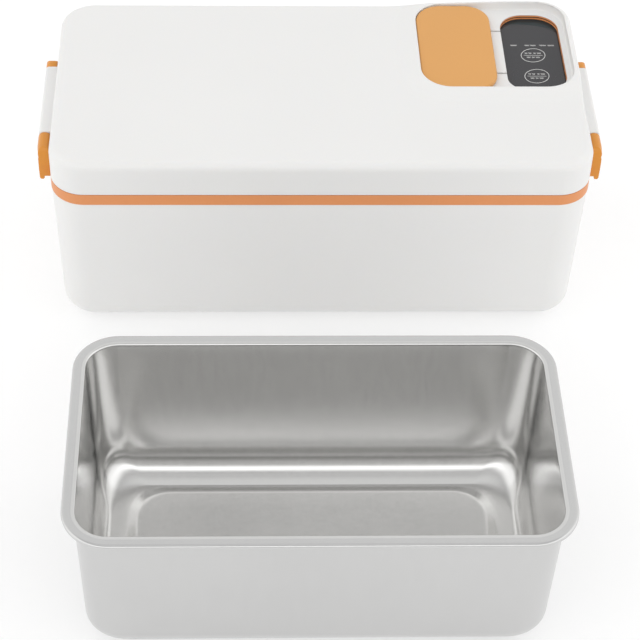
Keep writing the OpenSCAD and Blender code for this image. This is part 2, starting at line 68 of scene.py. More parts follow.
def finish_material(name, rgb, rough, metallic=0.0, vary=0.03, rough_vary=0.04, grain=700.0, grain_depth=0.00002,
                    bump=0.25, stretch=(1, 1, 1), blotch=22.0, specular=0.5, coat=0.0, coat_rough=0.1, sheen=0.0,
                    subsurface=0.0, anisotropic=0.0, speck=None, transmission=0.0, second=None, second_scale=60.0):
    """A moulded, pressed or drawn finish: soft blotches and fine grain in the colour, the roughness and the relief."""
    m = bpy.data.materials.new(name)
    t = nodes_of(m)
    n, l = t.nodes, t.links
    out = n.new("ShaderNodeOutputMaterial")
    b = n.new("ShaderNodeBsdfPrincipled")
    b.inputs["Metallic"].default_value = metallic
    b.inputs["Specular IOR Level"].default_value = specular
    b.inputs["Coat Weight"].default_value = coat
    b.inputs["Coat Roughness"].default_value = coat_rough
    b.inputs["Sheen Weight"].default_value = sheen
    b.inputs["Subsurface Weight"].default_value = subsurface
    b.inputs["Subsurface Radius"].default_value = (0.004, 0.003, 0.002)
    b.inputs["Subsurface Scale"].default_value = 1.0
    b.inputs["Anisotropic"].default_value = anisotropic
    b.inputs["Transmission Weight"].default_value = transmission
    co = n.new("ShaderNodeTexCoord")
    mp = n.new("ShaderNodeMapping")
    mp.inputs["Scale"].default_value = stretch
    l.new(co.outputs["Object"], mp.inputs["Vector"])

    def noise(scale, detail, vector):
        x = n.new("ShaderNodeTexNoise")
        x.inputs["Scale"].default_value = scale
        x.inputs["Detail"].default_value = detail
        x.inputs["Roughness"].default_value = 0.55
        l.new(vector, x.inputs["Vector"])
        return x.outputs["Fac"]

    soft = noise(blotch, 3.0, co.outputs["Object"])
    fine = noise(grain, 4.0, mp.outputs["Vector"])
    mix = n.new("ShaderNodeMath")
    mix.operation = "MULTIPLY_ADD"
    mix.inputs[1].default_value = 0.6
    l.new(soft, mix.inputs[0])
    half = n.new("ShaderNodeMath")
    half.operation = "MULTIPLY"
    half.inputs[1].default_value = 0.4
    l.new(fine, half.inputs[0])
    l.new(half.outputs[0], mix.inputs[2])
    ramp = n.new("ShaderNodeValToRGB")
    ramp.color_ramp.elements[0].position = 0.3
    ramp.color_ramp.elements[1].position = 0.7
    lo = [max(0.0, c * (1 - vary)) for c in rgb]
    hi = [min(1.0, c * (1 + vary)) for c in rgb]
    ramp.color_ramp.elements[0].color = (*lo, 1)
    ramp.color_ramp.elements[1].color = (*hi, 1)
    l.new(mix.outputs[0], ramp.inputs["Fac"])
    colour = ramp.outputs["Color"]
    if speck:
        v = n.new("ShaderNodeTexVoronoi")
        v.inputs["Scale"].default_value = speck[0]
        l.new(co.outputs["Object"], v.inputs["Vector"])
        s = n.new("ShaderNodeMath")
        s.operation = "LESS_THAN"
        s.inputs[1].default_value = speck[1]
        l.new(v.outputs["Distance"], s.inputs[0])
        k = n.new("ShaderNodeMix")
        k.data_type = "RGBA"
        l.new(s.outputs[0], k.inputs["Factor"])
        l.new(colour, k.inputs["A"])
        k.inputs["B"].default_value = (*speck[2], 1)
        colour = k.outputs["Result"]
    if second:
        p = noise(second_scale, 2.0, mp.outputs["Vector"])
        r2 = n.new("ShaderNodeMapRange")
        r2.inputs["From Min"].default_value = 0.45
        r2.inputs["From Max"].default_value = 0.6
        l.new(p, r2.inputs["Value"])
        k = n.new("ShaderNodeMix")
        k.data_type = "RGBA"
        l.new(r2.outputs["Result"], k.inputs["Factor"])
        l.new(colour, k.inputs["A"])
        k.inputs["B"].default_value = (*second, 1)
        colour = k.outputs["Result"]
    l.new(colour, b.inputs["Base Color"])
    rr = n.new("ShaderNodeMapRange")
    rr.inputs["From Min"].default_value = 0.3
    rr.inputs["From Max"].default_value = 0.7
    rr.inputs["To Min"].default_value = max(0.02, rough - rough_vary)
    rr.inputs["To Max"].default_value = min(1.0, rough + rough_vary)
    l.new(mix.outputs[0], rr.inputs["Value"])
    l.new(rr.outputs["Result"], b.inputs["Roughness"])
    bp = n.new("ShaderNodeBump")
    bp.inputs["Strength"].default_value = bump
    bp.inputs["Distance"].default_value = grain_depth
    l.new(fine, bp.inputs["Height"])
    l.new(bp.outputs["Normal"], b.inputs["Normal"])
    l.new(b.outputs["BSDF"], out.inputs["Surface"])
    return m


M = {
    "shell_white": finish_material("shell_white", (0.80, 0.796, 0.785), 0.42, vary=0.012, grain=900, grain_depth=0.00003, bump=0.2, blotch=14, subsurface=0.05),
    "liner_white": finish_material("liner_white", (0.78, 0.785, 0.78), 0.36, vary=0.015, grain=800, bump=0.15, blotch=20),
    "band_orange": finish_material("band_orange", (0.74, 0.285, 0.10), 0.42, vary=0.03, grain=900, grain_depth=0.00003, bump=0.2, blotch=26),
    "clip_orange": finish_material("clip_orange", (0.70, 0.27, 0.025), 0.36, specular=0.5, vary=0.03, grain=900, grain_depth=0.00003, bump=0.2, blotch=30),
    "cover_orange": finish_material("cover_orange", (0.70, 0.345, 0.097), 0.4, vary=0.02, grain=900, grain_depth=0.00003, bump=0.2, blotch=24),
    "foot_rubber": finish_material("foot_rubber", (0.045, 0.045, 0.047), 0.85, vary=0.2, grain=1400, grain_depth=0.00008, bump=0.6, specular=0.3),
    "screw_steel": finish_material("screw_steel", (0.55, 0.55, 0.54), 0.3, metallic=1, vary=0.06, grain=1500, stretch=(1, 1, 0.1), bump=0.3),
    "pin_steel": finish_material("pin_steel", (0.62, 0.62, 0.61), 0.25, metallic=1, vary=0.05, grain=1600, stretch=(1, 0.04, 1), bump=0.2),
    "tray_steel": finish_material("tray_steel", (0.61, 0.609, 0.605), 0.22, metallic=1, vary=0.025, rough_vary=0.03, grain=420, grain_depth=0.000012, bump=0.25, stretch=(1, 1, 0.18), blotch=16),
    "pot_aluminium": finish_material("pot_aluminium", (0.70, 0.70, 0.70), 0.38, metallic=1, vary=0.04, grain=1100, grain_depth=0.00003, bump=0.3, blotch=24),
    "plate_aluminium": finish_material("plate_aluminium", (0.66, 0.66, 0.66), 0.42, metallic=1, vary=0.06, grain=500, stretch=(0.05, 1, 1), bump=0.35),
    "heater_ceramic": finish_material("heater_ceramic", (0.50, 0.33, 0.19), 0.6, vary=0.1, grain=600, bump=0.4, speck=(900, 0.18, (0.30, 0.2, 0.12))),
    "felt": finish_material("felt", (0.78, 0.77, 0.70), 0.95, vary=0.1, grain=1800, grain_depth=0.0003, bump=0.9, sheen=0.4),
    "black_plastic": finish_material("black_plastic", (0.022, 0.022, 0.024), 0.45, vary=0.15, grain=1000, grain_depth=0.00004, bump=0.35),
    "pcb_green": finish_material("pcb_green", (0.018, 0.16, 0.055), 0.32, vary=0.1, grain=300, bump=0.2, stretch=(1, 6, 1), coat=0.3, second=(0.03, 0.22, 0.09), second_scale=260),
    "component": finish_material("component", (0.10, 0.12, 0.15), 0.45, vary=0.3, grain=500, bump=0.3, second=(0.55, 0.42, 0.12), second_scale=75),
    "brass_contact": finish_material("brass_contact", (0.72, 0.50, 0.20), 0.24, metallic=1, vary=0.05, grain=1300, bump=0.2),
    "wire_red": finish_material("wire_red", (0.45, 0.03, 0.025), 0.5, vary=0.12, grain=1200, bump=0.3),
    "wire_brown": finish_material("wire_brown", (0.20, 0.085, 0.04), 0.5, vary=0.12, grain=1200, bump=0.3),
    "wire_yellow": finish_material("wire_yellow", (0.70, 0.52, 0.06), 0.5, vary=0.12, grain=1200, bump=0.3),
    "silicone": finish_material("silicone", (0.83, 0.83, 0.81), 0.55, vary=0.03, grain=1100, bump=0.3, subsurface=0.1),
    "panel_glass": finish_material("panel_glass", (0.024, 0.0235, 0.027), 0.16, vary=0.05, rough_vary=0.03, grain=1200, grain_depth=0.00001, bump=0.1, blotch=40, coat=0.1, coat_rough=0.08),
}
# painted shadow: a darker, glossier copy of the panel glass for the shaded rear of the touch panel
M["display_tint"] = finish_material("display_tint", (0.022, 0.033, 0.037), 0.14, vary=0.2, rough_vary=0.03, grain=1200, grain_depth=0.00001, bump=0.1, specular=0.35)
# painted light: a lighter copy of the tray steel for the inside, brightening the interior; its slightly lower roughness
# is the polished inside
M["tray_steel_inner_painted_light"] = finish_material("tray_steel_inner_painted_light", (0.68, 0.677, 0.668), 0.2, metallic=1, vary=0.025, rough_vary=0.03, grain=420, grain_depth=0.000012, bump=0.25, stretch=(1, 1, 0.18), blotch=16)
# painted shade: a grey that stands in for the shade down the thin slots in the white deck
M["slot_grey"] = finish_material("slot_grey", (0.36, 0.36, 0.355), 0.5, vary=0.03, grain=900, grain_depth=0.00003, bump=0.2)
M["print_white"] = finish_material("print_white", (0.72, 0.72, 0.71), 0.5, vary=0.05, grain=1500, grain_depth=0.00001, bump=0.2, specular=0.3)
M["bezel_orange"] = finish_material("bezel_orange", (0.84, 0.33, 0.12), 0.4, vary=0.04, grain=900, grain_depth=0.00003, bump=0.2, blotch=30)


def paint(obj, name):
    obj.data.materials.clear()
    obj.data.materials.append(M[name])
    return obj


CAD_FINISH = {
    "rubber_feet": "foot_rubber", "base_screws": "screw_steel", "heating_plate": "plate_aluminium", "ptc_heaters": "heater_ceramic",
    "insulation_pad": "felt", "thermostat": "black_plastic", "thermal_fuse": "heater_ceramic", "power_inlet": "black_plastic",
    "inlet_pins": "brass_contact", "power_board": "pcb_green", "power_board_parts": "component", "mains_leads": "wire_brown",
    "heater_leads": "wire_red", "signal_leads": "wire_yellow", "base_contact_block": "black_plastic", "base_contact_pins": "brass_contact",
    "lid_liner": "liner_white", "lid_gasket": "silicone", "lid_screws": "screw_steel", "touch_panel": "panel_glass",
    "control_board": "pcb_green", "control_board_parts": "component", "lid_contact_block": "black_plastic", "lid_contact_pads": "brass_contact",
    "left_hinge_pin": "pin_steel", "right_hinge_pin": "pin_steel", "cover_retainers": "shell_white", "seam_frame": "band_orange",
    "panel_bezel": "bezel_orange", "liner_pot": "pot_aluminium", "base_shell": "shell_white", "lid_shell": "shell_white",
    "sliding_cover": "cover_orange", "left_latch": "clip_orange", "right_latch": "clip_orange", "food_tray": "tray_steel",
}
for node_name, finish in CAD_FINISH.items():
    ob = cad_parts[node_name]
    for i in range(max(1, len(ob.material_slots))):
        if not ob.material_slots:
            ob.data.materials.append(M[finish])
        else:
            ob.material_slots[i].link = "OBJECT"
            ob.material_slots[i].material = M[finish]


# ---------------------------------------------------------------- mesh tools (millimetres in, metres out)
def make(name, verts, faces, finish, body, sharp=38.0, slot=None, weld=None):
    me = bpy.data.meshes.new(name)
    me.from_pydata([Vector(v) * MM for v in verts], [], faces)
    me.validate()
    bm = bmesh.new()
    bm.from_mesh(me)
    if weld:
        bmesh.ops.remove_doubles(bm, verts=bm.verts, dist=weld * MM)
    bmesh.ops.recalc_face_normals(bm, faces=bm.faces)
    bm.to_mesh(me)
    bm.free()
    me.shade_smooth()
    me.set_sharp_from_angle(angle=math.radians(sharp))
    ob = bpy.data.objects.new(name, me)
    scene.collection.objects.link(ob)
    me.materials.append(M[finish])
    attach(ob, body)
    return ob


def ring4(x0, y0, x1, y1, radii, z, n=12, straight=0):
    """Closed outline from the front left corner anticlockwise; each corner has its own radius. straight adds points along the sides."""
    out = []
    corners = [(x0, y0, 1, 1, 180), (x1, y0, -1, 1, 270), (x1, y1, -1, -1, 0), (x0, y1, 1, -1, 90)]
    for i, (x, y, u, v, a0) in enumerate(corners):
        r = radii[i]
        cx, cy = x + u * r, y + v * r
        for k in range(n + 1):
            a = math.radians(a0 + 90 * k / n)
            out.append((cx + r * math.cos(a), cy + r * math.sin(a), z))
        if straight:
            nx, ny, nu, nv, na = corners[(i + 1) % 4]
            nr = radii[(i + 1) % 4]
            a = math.radians(na)
            end = (nx + nu * nr + nr * math.cos(a), ny + nv * nr + nr * math.sin(a))
            last = out[-1]
            for k in range(1, straight):
                f = k / straight
                out.append((last[0] + (end[0] - last[0]) * f, last[1] + (end[1] - last[1]) * f, z))
    return out


def ring(hx, hy, r, z, cx=0.0, cy=0.0, n=12, straight=0):
    return ring4(cx - hx, cy - hy, cx + hx, cy + hy, [r] * 4, z, n, straight)


def loft(rings, close_first=False, close_last=False, loop=False):
    """Skins a list of equal rings. Ends close with a flat face; loop joins the last ring to the first."""
    verts = [p for r in rings for p in r]
    m = len(rings[0])
    faces = []
    pairs = [(i, i + 1) for i in range(len(rings) - 1)] + ([(len(rings) - 1, 0)] if loop else [])
    for i, j in pairs:
        for k in range(m):
            q = (k + 1) % m
            faces.append((i * m + k, i * m + q, j * m + q, j * m + k))
    if close_first:
        faces.append(tuple(range(m)))
    if close_last:
        faces.append(tuple((len(rings) - 1) * m + k for k in range(m)))
    return verts, faces


def join_parts(parts):
    verts, faces = [], []
    for v, f in parts:
        o = len(verts)
        verts += v
        faces += [tuple(i + o for i in q) for q in f]
    return verts, faces


def prism(profile, y0, y1):
    """A profile in X and Z run along Y, with closed ends."""
    a = [(x, y0, z) for x, z in profile]
    b = [(x, y1, z) for x, z in profile]
    return loft([a, b], True, True)


def apply_modifiers(ob):
    dg = bpy.context.evaluated_depsgraph_get()
    dg.update()
    me = bpy.data.meshes.new_from_object(ob.evaluated_get(dg))
    ob.modifiers.clear()
    ob.data = me
    return ob


def cut(ob, cutters):
    """Takes the cutters, given as (verts, faces), out of ob."""
    made = []
    for i, (v, f) in enumerate(cutters):
        me = bpy.data.meshes.new("cutter")
        me.from_pydata([Vector(p) * MM for p in v], [], f)
        bm = bmesh.new()
        bm.from_mesh(me)
        bmesh.ops.recalc_face_normals(bm, faces=bm.faces)
        bm.to_mesh(me)
        bm.free()
        c = bpy.data.objects.new("cutter", me)
        scene.collection.objects.link(c)
        made.append(c)
        mod = ob.modifiers.new("cut%d" % i, "BOOLEAN")
        mod.operation = "DIFFERENCE"
        mod.solver = "EXACT"
        mod.object = c
    apply_modifiers(ob)
    for c in made:
        bpy.data.objects.remove(c)
    return ob


def soften(ob, width, segments=3, angle=35, sharp=50):
    """Rounds every edge sharper than angle by width millimetres."""
    mod = ob.modifiers.new("bevel", "BEVEL")
    mod.width = width * MM
    mod.segments = segments
    mod.limit_method = "ANGLE"
    mod.angle_limit = math.radians(angle)
    mod.harden_normals = False
    mod.miter_outer = "MITER_ARC"
    apply_modifiers(ob)
    ob.data.shade_smooth()
    ob.data.set_sharp_from_angle(angle=math.radians(sharp))
    return ob


def unite(name, parts, finish, body, slot=None):
    """Joins closed parts into one solid."""
    base = make(name, *parts[0], finish, body, slot=slot)
    others = []
    for i, (v, f) in enumerate(parts[1:]):
        me = bpy.data.meshes.new("part")
        me.from_pydata([Vector(p) * MM for p in v], [], f)
        bm = bmesh.new()
        bm.from_mesh(me)
        bmesh.ops.recalc_face_normals(bm, faces=bm.faces)
        bm.to_mesh(me)
        bm.free()
        o = bpy.data.objects.new("part", me)
        scene.collection.objects.link(o)
        others.append(o)
        mod = base.modifiers.new("join%d" % i, "BOOLEAN")
        mod.operation = "UNION"
        mod.solver = "EXACT"
        mod.object = o
    apply_modifiers(base)
    for o in others:
        bpy.data.objects.remove(o)
    return base


def smooth01(t):
    t = min(1.0, max(0.0, t))
    return t * t * (3 - 2 * t)


# ---------------------------------------------------------------- sizes, as in the CAD
HX, HY, R = 120.0, 60.0, 15.4
LID_BOTTOM, LID_TOP, LID_ROUND = 80.95, 97.8, 4.0
LIP_TOP, LIP_ROUND = 100.16, 2.1
DECK = 95.6
WALL = 2.2
REC = (46.8, -6.8, 117.1, 58.0)
REC_R = [13.5, 13.8, 13.0, 12.8]
WIN = (86.8, -3.1, 114.3, 53.8)
WIN_R = [8.0, 9.5, 10.9, 11.2]
SLOT_Y = (8.6, 40.8)
PANEL = DECK - 2.4


def outline_distance(x, y, x0, y0, x1, y1, radii):
    """Signed distance to a rounded outline, negative inside."""
    cx, cy = (x0 + x1) / 2, (y0 + y1) / 2
    i = (0 if x < cx else 1) if y < cy else (3 if x < cx else 2)
    r = radii[i]
    qx = abs(x - cx) - (x1 - x0) / 2 + r
    qy = abs(y - cy) - (y1 - y0) / 2 + r
    return math.hypot(max(qx, 0), max(qy, 0)) + min(max(qx, qy), 0) - r


def inside_lid(x, y):
    return -outline_distance(x, y, -HX, -HY, HX, HY, [R] * 4)


def outside_recess(x, y):
    return outline_distance(x, y, *REC, REC_R)


def lip_weight(x, y):
    w = smooth01(1 - (outside_recess(x, y) - 0.9) / 9.2)
    return w * (1 - 0.6 * smooth01(y / 50) * smooth01((95 - x) / 50))


def edge_round(x, y):
    return LID_ROUND - (LID_ROUND - LIP_ROUND) * smooth01(1 - (outside_recess(x, y) - 1.5) / 15.0)


def lid_height(x, y):
    d = max(0.0, inside_lid(x, y))
    q = outside_recess(x, y)
    top = LID_TOP + (LIP_TOP - LID_TOP) * lip_weight(x, y)
    r = edge_round(x, y)
    z = top - (r - math.sqrt(max(0.0, r * r - max(0.0, r - d) ** 2)))
    e = 0.55
    if q < e:
        z -= e - math.sqrt(max(0.0, e * e - (e - max(0.0, q)) ** 2))
    return z


# ---------------------------------------------------------------- lid skin
def lid_top_surface():
    N, S = 18, 26
    loops = []
    base = ring(HX, HY, R, 0, n=N, straight=S)
    for k in range(11):
        a = math.radians(9 * k)
        pts = []
        for x, y, _ in base:
            r = edge_round(x, y)
            d = r * (1 - math.cos(a))
            g = 1e-4
            nx = (inside_lid(x * (1 - g), y) - inside_lid(x, y)) / (abs(x) * g + 1e-12)
            # inward normal from the rounded outline
            qx = abs(x) - HX + R
            qy = abs(y) - HY + R
            if qx > 0 and qy > 0:
                h = math.hypot(qx, qy)
                u, v = -math.copysign(qx / h, x), -math.copysign(qy / h, y)
            elif abs(abs(x) - HX) < abs(abs(y) - HY):
                u, v = -math.copysign(1, x), 0.0
            else:
                u, v = 0.0, -math.copysign(1, y)
            pts.append((x + u * d, y + v * d))
        loops.append(pts)
    extra = []
    for x, y in loops[-1]:
        qx, qy = x, y
        h = math.hypot(qx, qy) or 1
        extra.append((x - qx / h * 0.35, y - qy / h * 0.35))
    rec = []
    for q in (0.0, 0.03, 0.1, 0.22, 0.37, 0.55):
        rec.append([(x, y) for x, y, _ in ring4(REC[0] - q, REC[1] - q, REC[2] + q, REC[3] + q, [r + q for r in REC_R], 0, n=14, straight=14)])
    pts, edges = [], []

    def add_loop(loop, closed=True):
        o = len(pts)
        pts.extend(loop)
        if closed:
            edges.extend([(o + i, o + (i + 1) % len(loop)) for i in range(len(loop))])

    for lp in loops:
        add_loop(lp)
    for lp in rec:
        add_loop(lp)
    for x, y in extra:
        if outside_recess(x, y) > 0.9:
            pts.append((x, y))
    for q in (1.0, 1.4, 1.9, 2.5, 3.1, 3.8, 4.5, 5.2, 6.0, 6.8, 7.6, 8.5, 9.4, 10.4):
        for x, y, _ in ring4(REC[0] - q, REC[1] - q, REC[2] + q, REC[3] + q, [r + q for r in REC_R], 0, n=14, straight=14):
            if inside_lid(x, y) > edge_round(x, y) + 0.5:
                pts.append((x, y))
    gx = -112.0
    while gx < 113:
        gy = -52.0
        while gy < 53:
            if inside_lid(gx, gy) > 6.5 and outside_recess(gx, gy) > 12.5:
                pts.append((gx, gy))
            gy += 8.0
        gx += 8.0
    co, _, tri, _, _, _ = delaunay_2d_cdt([Vector(p) for p in pts], edges, [], 0, 1e-5)
    verts = [(p.x, p.y, lid_height(p.x, p.y)) for p in co]
    faces = []
    for t in tri:
        x = sum(co[i].x for i in t) / len(t)
        y = sum(co[i].y for i in t) / len(t)
        if inside_lid(x, y) > -1e-4 and outside_recess(x, y) > -1e-4:
            faces.append(tuple(t))
    return verts, faces, base


def lid_skin():
    verts, faces, base = lid_top_surface()
    # outer wall, rounded bottom edge and inside wall, left open at its top
    wall_rings = []
    top = [(x, y, lid_height(x, y)) for x, y, _ in base]
    wall_rings.append(top)
    wall_rings.append([(x, y, 93.0) for x, y, _ in base])
    wall_rings.append([(x, y, LID_BOTTOM + 2.0) for x, y, _ in base])
    for a in range(0, 91, 18):
        t = math.radians(a)
        e = 0.3
        i = e * (1 - math.cos(t))
        wall_rings.append(ring(HX - i, HY - i, R - i, LID_BOTTOM + e * (1 - math.sin(t)), n=18, straight=26))
    wall_rings.append(ring(HX - WALL + 0.2, HY - WALL + 0.2, R - WALL + 0.2, LID_BOTTOM, n=18, straight=26))
    wall_rings.append(ring(HX - WALL, HY - WALL, R - WALL, LID_BOTTOM + 0.25, n=18, straight=26))
    wall_rings.append(ring(HX - WALL, HY - WALL, R - WALL, 90.5, n=18, straight=26))
    wall = loft(wall_rings)
    # recess walls down to the deck
    rec_rings = [[(x, y, lid_height(x, y)) for x, y, _ in ring4(*REC, REC_R, 0, n=14, straight=14)]]
    rec_rings.append([(x, y, DECK + 0.9 + 0.5 * (z - DECK - 0.9)) for x, y, z in rec_rings[0]])
    rec_rings.append(ring4(*REC, REC_R, DECK + 0.9, n=14, straight=14))
    for a in (25, 45, 65, 80, 90):
        t = math.radians(a)
        e = 0.9
        i = e * (1 - math.cos(t))
        rec_rings.append(ring4(REC[0] + i, REC[1] + i, REC[2] - i, REC[3] - i, [r - i for r in REC_R], DECK - 0.02 + e * (1 - math.sin(t)), n=14, straight=14))
    recess = loft(rec_rings)
    ob = make("lid_skin", *join_parts([(verts, faces), wall, recess]), "shell_white", "lid", weld=0.004, sharp=44)
    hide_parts("lid_shell")
    return ob


def slotted_window(grow, z, w=0.6):
    """The touch window's outline with the two thin slots that run left from it."""
    x0, y0, x1, y1 = WIN[0] - grow, WIN[1] - grow, WIN[2] + grow, WIN[3] + grow
    pts = [(x, y) for x, y, _ in ring4(x0, y0, x1, y1, [r + grow for r in WIN_R], 0, n=14)]
    # anticlockwise from the front left corner's left side: the left side is walked from rear to front at the end of the list
    left = []
    for y in (SLOT_Y[1], SLOT_Y[0]):
        left += [(x0, y + w), (48.3 + 0.4, y + w), (48.3, y + 0.6 * w), (48.3, y - 0.6 * w), (48.3 + 0.4, y - w), (x0, y - w)]
    return [(x, y, z) for x, y in pts + left]


def flat_plate(name, outer, holes, z0, z1, bevel, finish, body):
    """A flat moulded plate with holes, its edges rounded, as a filled curve turned into a mesh."""
    cu = bpy.data.curves.new(name, "CURVE")
    cu.dimensions = "2D"
    cu.fill_mode = "BOTH"
    cu.extrude = (z1 - z0) / 2 * MM - bevel * MM
    cu.bevel_depth = bevel * MM
    cu.bevel_resolution = 2
    cu.offset = -bevel * MM
    for pts in [outer] + holes:
        sp = cu.splines.new("POLY")
        sp.points.add(len(pts) - 1)
        for i, p in enumerate(pts):
            sp.points[i].co = (p[0] * MM, p[1] * MM, 0, 1)
        sp.use_cyclic_u = True
    tmp = bpy.data.objects.new(name, cu)
    tmp.location.z = (z0 + z1) / 2 * MM
    scene.collection.objects.link(tmp)
    bpy.context.view_layer.update()
    dg = bpy.context.evaluated_depsgraph_get()
    me = bpy.data.meshes.new_from_object(tmp.evaluated_get(dg))
    me.transform(tmp.matrix_world)
    bpy.data.objects.remove(tmp)
    me.materials.clear()
    me.shade_smooth()
    me.set_sharp_from_angle(angle=math.radians(40))
    ob = bpy.data.objects.new(name, me)
    scene.collection.objects.link(ob)
    me.materials.append(M[finish])
    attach(ob, body)
    return ob


lid_skin()
outer = [(x, y) for x, y, _ in ring4(REC[0] - 0.6, REC[1] - 0.6, REC[2] + 0.6, REC[3] + 0.6, [r + 0.6 for r in REC_R], 0, n=14)]
hole = [(x, y) for x, y, _ in slotted_window(0.0, 0, 0.52)]
under = [(x, y) for x, y, _ in slotted_window(0.96, 0, 0.44)]
flat_plate("recess_deck", outer, [hole], DECK - 0.5, DECK, 0.12, "shell_white", "lid")
flat_plate("recess_deck_rib", outer, [under], DECK - 1.05, DECK - 0.49, 0.02, "shell_white", "lid")

# bridges that close the slots' ends in front of the ring, coloured grey as painted shade for the shaded inside of the
# slots
bridges = [prism([(84.5, DECK - 0.52), (86.78, DECK - 0.52), (86.78, DECK - 0.36), (84.5, DECK - 0.36)], y - 0.56, y + 0.56) for y in SLOT_Y]
make("slot_ends", *join_parts(bridges), "slot_grey", "lid")

# ring under the deck that lines the window
sleeve = []
for grow, z in ((1.6, PANEL + 0.01), (1.6, DECK - 1.06), (0.9, DECK - 1.0), (0.9, DECK - 0.52), (0.04, DECK - 0.52), (0.0, DECK - 0.6),
                (0.0, DECK - 1.16), (0.75, DECK - 1.2), (0.75, DECK - 1.68), (0.0, DECK - 1.72), (0.0, PANEL + 0.01)):
    sleeve.append(ring4(WIN[0] - grow, WIN[1] - grow, WIN[2] + grow, WIN[3] + grow, [r + grow for r in WIN_R], z, n=14))
bz = make("bezel_ring", *loft(sleeve, loop=True), "bezel_orange", "lid", slot="band_orange")
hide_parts("panel_bezel")
# painted shadow: a black ring inside the sleeve's groove stands in for the groove's shade
line = [ring4(WIN[0] - g, WIN[1] - g, WIN[2] + g, WIN[3] + g, [r + g for r in WIN_R], DECK - d, n=14) for g, d in ((0.08, 1.22), (0.7, 1.22), (0.7, 1.66), (0.08, 1.66))]
make("bezel_groove_shadow", *loft(line, loop=True), "black_plastic", "lid")


# ---------------------------------------------------------------- hinge blocks on the lid's ends
def block_profile(side):
    """Closed X-Z outline of the block that carries the latch's pin."""
    pts = []
    for cx, cz, a0 in ((117.0, 84.1, 180), (124.4, 84.1, 270), (124.4, 88.4, 0), (117.0, 88.4, 90)):
        for k in range(9):
            a = math.radians(a0 + 90 * k / 8)
            pts.append((side * (cx + 1.5 * math.cos(a)), cz + 1.5 * math.sin(a)))
    return pts


for side, nm in ((-1, "left"), (1, "right")):
    ob = make(nm + "_hinge_block", *prism(block_profile(side), -27.0, 20.4), "shell_white", "lid")
    soften(ob, 0.45, 3, 40)


# ---------------------------------------------------------------- latches
def arm_profile(side):
    pts = []
    for k in range(25):
        a = math.radians(200 - 230 * k / 24)
        pts.append((3.2 + 2.9 * math.cos(a), 86.8 + 2.9 * math.sin(a)))
    pts += [(6.15, 84.6), (6.15, 80.6), (6.15, 78.4), (6.1, 76.5)]
    for k in range(9):
        a = math.radians(-90 * k / 8)
        pts.append((5.05 + 1.0 * math.cos(a), 74.2 + 1.0 * math.sin(a)))
    for k in range(9):
        a = math.radians(270 - 90 * k / 8)
        pts.append((4.4 + 1.0 * math.cos(a), 74.2 + 1.0 * math.sin(a)))
    pts += [(3.4, 74.9), (0.95, 74.9), (0.6, 75.3), (0.5, 81.8), (0.38, 84.6)]
    return [(side * (120 + x), z) for x, z in pts]


def plate_profile(side):
    pts = [(3.4, 81.0), (3.4, 74.3)]
    for k in range(9):
        a = math.radians(180 + 90 * k / 8)
        pts.append((4.4 + 1.0 * math.cos(a), 74.2 + 1.0 * math.sin(a)))
    for k in range(9):
        a = math.radians(270 + 90 * k / 8)
        pts.append((5.05 + 1.0 * math.cos(a), 74.2 + 1.0 * math.sin(a)))
    pts += [(6.1, 76.5), (6.15, 78.4), (6.15, 80.6), (5.9, 81.1)]
    return [(side * (120 + x), z) for x, z in pts]


def corner_cutter(y, way, top, ry, rz):
    """What is taken off an end's upper edge to leave it round: a prism along X outside a quarter ellipse."""
    prof = [(y + way * 1.0, top + 1.0), (y - way * ry, top + 1.0)]
    for k in range(19):
        a = math.radians(90 * k / 18)
        prof.append((y - way * ry + way * ry * math.sin(a), top - rz + rz * math.cos(a)))
    prof.append((y + way * 1.0, top - rz))
    if way > 0:
        prof.reverse()
    lo = [(-130.0, py, pz) for py, pz in prof]
    hi = [(130.0, py, pz) for py, pz in prof]
    return loft([lo, hi], True, True)


def latch(side, name, body, node):
    front, rear = -40.0, 25.6
    # the front arm's outer side curves in a little towards its front end
    bowed = []
    for dy in (0.0, 0.8, 1.8, 3.0, 4.4, 6.0, 12.6):
        bow = 0.55 * smooth01((6.0 - dy) / 6.0)
        bowed.append([(x - side * bow * smooth01((side * x - 123.0) / 3.0), front + dy, z) for x, z in arm_profile(side)])
    parts = [loft(bowed, True, True), prism(arm_profile(side), rear - 4.9, rear + 0.9), prism(plate_profile(side), front + 6, rear - 2.5)]
    hook = [(side * (120 + x), z) for x, z in ((0.6, 74.15), (3.6, 74.15), (3.6, 75.9), (1.3, 75.9), (0.6, 75.3))]
    parts.append(prism(hook, -27.6, 20.9))
    ob = unite(name, parts, "clip_orange", body)
    cut(ob, [corner_cutter(front, -1, 90.0, 3.8, 9.4), corner_cutter(rear + 0.9, 1, 90.1, 2.8, 4.6)])
    soften(ob, 0.7, 4, 40, sharp=60)
    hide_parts(node)
    return ob


latch(-1, "left_clip", "left_clip", "left_latch")
latch(1, "right_clip", "right_clip", "right_latch")


